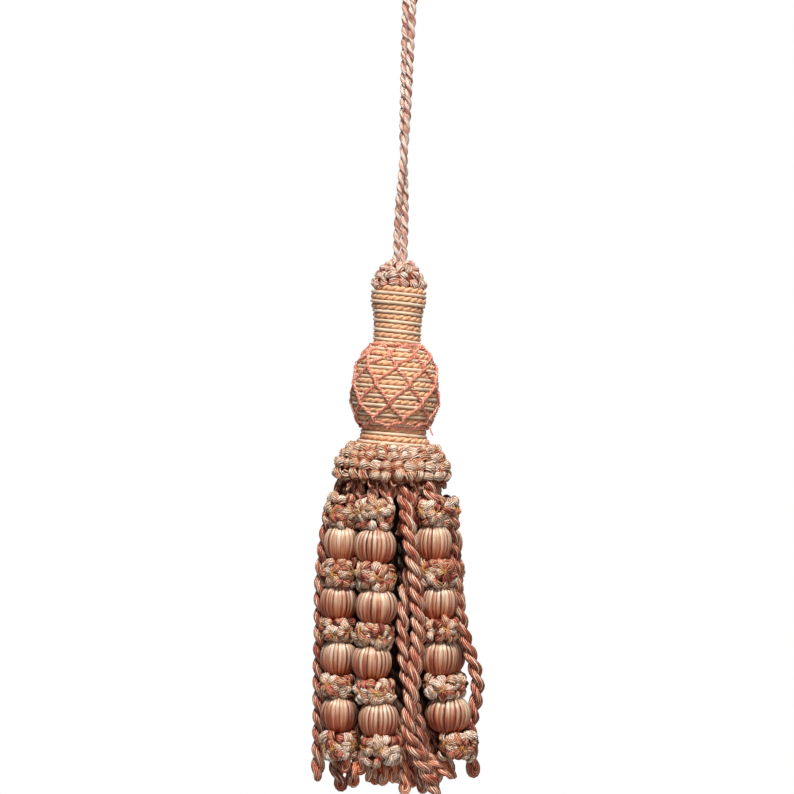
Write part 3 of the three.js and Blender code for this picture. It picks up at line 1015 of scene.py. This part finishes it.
def makeStrings():
    ties = Yarn("tuft_ties", 4)
    cores = Yarn("string_cords", 4)
    for string in stringNames:
        node = f"bead_string_{string}"
        boxes = [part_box(f"bead_{string}_{index}") for index in range(1, 5)]
        stringTop = nodeTop(node)
        yarn = Yarn(f"tufts_{string}", 4)
        gaps = [(stringTop - tuft["firstDrop"], boxes[0][1].z)]
        gaps += [(boxes[i][0].z, boxes[i + 1][1].z) for i in range(3)]
        gaps += [(boxes[3][0].z, boxes[3][0].z - tuft["lastHeight"])]
        middle = (boxes[0][0] + boxes[0][1]) / 2
        facing = math.degrees(math.atan2(middle.x, -middle.y))
        stops = [levelCentre(node, stringTop + mm, stringTop - mm)]
        for index, (high, low) in enumerate(gaps):
            centre = levelCentre(node, high, low)
            centre[2] = (high + low) / 2
            radius = tuft["radius"] * (0.93 if index == 0 else rng.uniform(0.94, 1.05))
            halfHeight = (high - low) / 2 + tuft["overlap"]
            addTuft(yarn, ties, centre, halfHeight, radius, facing + rng.uniform(-10, 10))
            stops.append(centre)
        stops[0][2] += stringCord["up"]
        line = smoothLine(stops, stringCord["step"])
        cores.addCord(line, stringCord, rng.uniform(0.3, 0.6, 2))
        piece = yarn.finish(threads["tuftYarn"])
        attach(piece, "root")
        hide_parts(node)
    tiePiece = ties.finish(threads["goldTie"])
    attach(tiePiece, "root")
    corePiece = cores.finish(threads["bullionCord"])
    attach(corePiece, "root")


makeStrings()
print("tufts tied")


bullion = {
    # each kind of cord's diameter and the length in which it twists once round
    "front": (4.7 * mm, 9.3 * mm),
    "outer": (4.2 * mm, 10.2 * mm),
    "inner": (3.696 * mm, 8.6 * mm),
    "filler": (3.444 * mm, 8.6 * mm),
    "ply": 0.275,  # radius of one leg, and from the cord's middle to the leg's, as shares of the diameter
    "plyReach": 0.265,
    "step": 0.9 * mm,
    "lean": 0.04,  # the skirt's middle moves this far to the right for each mm down
    "top": -166.9 * mm,
}
# cords whose upper ends show under the ruff
upperEnds = {"cords": 26, "ply": 0.82 * mm, "plyReach": 0.78 * mm, "pitch": 7.5 * mm}
# outer cords between the strings: right of the skirt's middle, forward of it, height, in mm
outerCords = [
    [
        (3.4, 12.6, -166.1), (4.4, 14.4, -172), (5.3, 16.8, -180), (7.2, 16.8, -195), (7.9, 16.5, -210),
        (6.3, 17.8, -225), (5.2, 18.2, -240), (12.6, 13.5, -256.2),
    ],
    [
        (5.8, 9.4, -166.1), (5.8, 9.4, -172), (5.8, 10.0, -180), (5.6, 10.4, -190), (4.2, 11.4, -197),
        (3.2, 13.2, -208), (4.7, 14.5, -225), (8.6, 14, -240), (9, 11, -255.6),
    ],
    [
        (10.2, 12.2, -165), (12.6, 12.4, -168.4), (16.2, 10.6, -172), (18.4, 7.6, -175.6),
        (18.6, 4.4, -181), (19.2, 2.6, -189), (19.5, 2.4, -195), (21.8, 2.6, -210), (26, 2, -225),
        (23.8, -0.4, -240), (24.6, 0, -251.6),
    ],
    [
        (10.2, -10.6, -166.1), (11, -11.4, -172), (11.8, -12.2, -180), (12, -12.6, -195),
        (11.8, -13.5, -210), (11.6, -14.6, -225), (12.6, -15.8, -240), (13.5, -16.5, -256),
    ],
    [
        (-3.8, -14.6, -166.1), (-4.7, -19.2, -172), (-5.1, -20.6, -180), (-5.3, -21, -195),
        (-5.6, -21.4, -210), (-5.2, -21.8, -225), (-5, -22, -240), (-6, -20, -255.5),
    ],
    [
        (-14.8, -2, -166.1), (-18, -3, -172), (-19.9, -4, -180), (-21.6, -4, -195), (-21.9, -4, -210),
        (-22.3, -4, -225), (-22.4, -4.5, -240), (-22.9, -4, -254.9),
    ],
    [
        (-11, -2, -166.1), (-11.8, -2.6, -172), (-12.4, -3, -180), (-12.6, -3, -195), (-12.8, -3, -210),
        (-14.4, -3, -225), (-17.6, -2.6, -240), (-18.4, -2, -248), (-15.9, -1, -257.4),
    ],
]
# rings of cords inside: reach from the middle, and reach and height of their ends, in mm
innerRings = [
    {"cords": 1, "turn": 0, "reach": 0.3, "end": 3, "low": -252},
    {"cords": 7, "turn": 10, "reach": 4.3, "end": 7, "low": -253.5},
    {"cords": 13, "turn": -4, "reach": 8.5, "end": 13, "low": -254.5},
]
# more cords inside, that close the skirt's foot
fillers = [
    [
        (-13, -5, -166.1), (-17, -6, -176), (-18.8, -6.5, -188), (-19.8, -6.5, -200), (-20.8, -6.5, -228),
        (-20.8, -6.5, -241), (-17.5, -6, -251),
    ],
    [(-6.5, 5, -166.1), (-7, 5.5, -200), (-9, 6, -235), (-14.4, 8.5, -251)],
    [(-3.5, 7, -166.1), (-4, 7, -200), (-6, 7.5, -235), (-9.2, 10.5, -251.2)],
    [(0, 7, -166.1), (0, 7, -200), (-2, 8, -235), (-4.4, 10.5, -252.4)],
    [(3.5, 6.6, -166.1), (3.5, 7, -200), (2.5, 8, -235), (0.2, 11, -253.2)],
    [(8, -4, -166.1), (9, -4.5, -180), (9.6, -5, -200), (10, -5, -225), (10.6, -5, -240), (15, -3, -252.4)],
    [(7.5, 1, -166.1), (8, 1, -200), (9, 0.5, -225), (9.6, 0.5, -238), (12.2, 5, -252.6)],
    [(8, 0.5, -166.1), (8.5, 0.5, -200), (9.5, 0, -228), (11.5, 0, -238), (18.2, 2.5, -252.4)],
    [(2, -7, -166.1), (2, -7, -200), (4, -8.5, -235), (7, -13, -253)],
    [(-6, -5.5, -166.1), (-6, -5.5, -200), (-8, -7.5, -235), (-11, -10.5, -254)],
]
# where the outer ring's front cords end, by their number
frontEnds = {
    11: (-10.9, 10, -252.3), 12: (-7, 11.5, -253), 0: (-2.8, 12, -253.8),
    1: (3.7, 12.5, -256.4), 2: (16.6, 7, -252.2),
}


def addBullion(yarn, points, kind):
    diameter, pitch = bullion[kind]
    line = smoothLine(points, bullion["step"])
    reach = diameter * bullion["plyReach"]
    legs = twisted(line, reach, pitch, start=rng.uniform(0, wholeTurn))
    # the cord is one strand doubled back on itself, with a small open loop at its end
    tangent = unit(line[-1] - line[-2])
    out = legs[0][-1] - line[-1]
    bend = np.linspace(0, math.pi, 7)[1:-1, None]
    turnBack = line[-1] + out * np.cos(bend) + tangent * np.sin(bend) * reach * 1.5
    strand = np.concatenate([legs[0], turnBack, legs[1][::-1]])
    yarn.add(strand, diameter * bullion["ply"], rng.uniform(0.3, 0.7))


def leanOver(points):
    # the whole skirt hangs a little to the right
    points = np.array(points) * mm
    points[:, 0] += bullion["lean"] * (bullion["top"] - points[:, 2])
    return points


def backwards(cord):
    return [(right, -forward, z) for right, forward, z in cord]


def addUpperEnd(yarn, turn):
    # from the ruff to the place where the cord slips in behind a tuft
    lean = rng.uniform(-7, 7)
    reach = rng.uniform(12.6, 14.6)
    points = [
        (turn, reach - 1, -163), (turn, reach, -167), (turn + lean, reach + 0.3, -171),
        (turn + lean * 2, reach - 1.6, -176), (turn + lean * 2, reach - 4.5, -181),
    ]
    line = smoothLine([turnTo(*point) * mm for point in points], bullion["step"])
    start = rng.uniform(0, wholeTurn)
    yarn.addCord(line, upperEnds, rng.uniform(0.3, 0.8, 2), firstNormal=(1, 0, 0), start=start)


def makeBullion():
    yarn = Yarn("bullion_cords", 8)
    inner = Yarn("inner_cords", 6)
    for index, cord in enumerate(outerCords):
        addBullion(yarn, leanOver(backwards(cord)), "outer" if index else "front")
    for k in range(upperEnds["cords"]):
        addUpperEnd(yarn, 360 * (k + rng.uniform(-0.3, 0.3)) / upperEnds["cords"])
    for ring in innerRings:
        for index in range(ring["cords"]):
            turn = ring["turn"] + 360 * index / ring["cords"]
            low = ring["low"] + rng.uniform(-2, 2)
            end = ring["end"] + rng.uniform(-1.5, 1.5)
            endPoint = turnTo(turn + rng.uniform(-4, 30), end, low)
            if ring is innerRings[-1] and index in frontEnds:
                endPoint = backwards([frontEnds[index]])[0]
            reach = ring["reach"]
            points = [
                turnTo(turn, reach, -166.1),
                turnTo(turn, reach, -190.0),
                turnTo(turn + rng.uniform(-6, 6), reach, -220.0),
                turnTo(turn + rng.uniform(-6, 6), reach * 1.05, -243.0),
                endPoint,
            ]
            addBullion(inner, leanOver(points), "inner")
    for cord in fillers:
        addBullion(inner, leanOver(backwards(cord)), "filler")
    innerPiece = inner.finish(threads["innerCordPaintedShading"])
    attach(innerPiece, "root")
    piece = yarn.finish(threads["bullionCord"])
    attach(piece, "root")
    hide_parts("bullion_skirt")


makeBullion()
print("skirt hung")


stage = {
    "floor": -1.3,  # height
    "backdrop": 1.6,  # distance behind
    "world": 0.1,
    "aimZ": -0.16,  # height that the lamps point at
    # lamps: place, size, watts
    "lamps": {
        "key": ((-0.05, -0.74, 0.84), 0.3, 22.4),
        "fill": ((0.3, -1.15, -0.1), 0.5, 3.3),
        "back": ((0.5, 1.0, 0.7), 0.8, 7.0),
    },
}


def paleMaterial(name, seenWhite):
    # painted pale, and as white as asked where the camera sees it
    material, at = newMaterial(name)
    grain = at.node("TexCoord", None, None, "Object").noise(scale=30.0)
    pale = {"Base Color": (0.85, 0.85, 0.85, 1), "Roughness": 0.7 + grain * 0.2, "Specular IOR Level": 0.2}
    paint = at.node("BsdfPrincipled", None, pale)
    glow = at.node("Emission", None, {"Color": (1, 1, 1, 1), "Strength": 1.0})
    seen = at.node("LightPath", None, None, "Is Camera Ray")
    mixed = at.node("MixShader", None, {0: seen * seenWhite, 1: paint, 2: glow})
    at.node("OutputMaterial", None, {"Surface": mixed})
    return material


def makeStage():
    for name, place, turn, material in (
        ("floor", (0, 0, stage["floor"]), 0, paleMaterial("paleFloor", 0.9)),
        ("backdrop", (0, stage["backdrop"], 1.0), 90, paleMaterial("paleBackdrop", 1.0)),
    ):
        bpy.ops.mesh.primitive_plane_add(size=8, location=place, rotation=(math.radians(turn), 0, 0))
        plane = bpy.context.object
        plane.name = name
        plane.data.materials.append(material)


def addLamp(name, place, size, watts):
    data = bpy.data.lights.new(name, "AREA")
    data.shape = "DISK"
    data.size = size
    data.energy = watts
    lamp = placed(name, data)
    lamp.location = place
    right, back, up = np.array([0, 0, stage["aimZ"]]) - place
    tilt = math.atan2(math.hypot(right, back), -up)
    lamp.rotation_euler = (tilt, 0, math.atan2(back, right) - math.pi / 2)


def makeLight():
    for name, (place, size, watts) in stage["lamps"].items():
        addLamp(name, place, size, watts)
    world = bpy.data.worlds.new("world")
    world.use_nodes = True
    world.node_tree.nodes.clear()
    at = Shade(world.node_tree)
    seen = at.node("LightPath", None, None, "Is Camera Ray")
    soft = at.node("Background", None, {"Color": (1, 1, 1, 1), "Strength": stage["world"]})
    white = at.node("Background", None, {"Color": (1, 1, 1, 1), "Strength": 1.0})
    mixed = at.node("MixShader", None, {0: seen, 1: soft, 2: white})
    at.node("OutputWorld", None, {"Surface": mixed})
    bpy.context.scene.world = world


makeStage()
makeLight()
bpy.context.scene.view_settings.view_transform = "Standard"
print("stage lit")
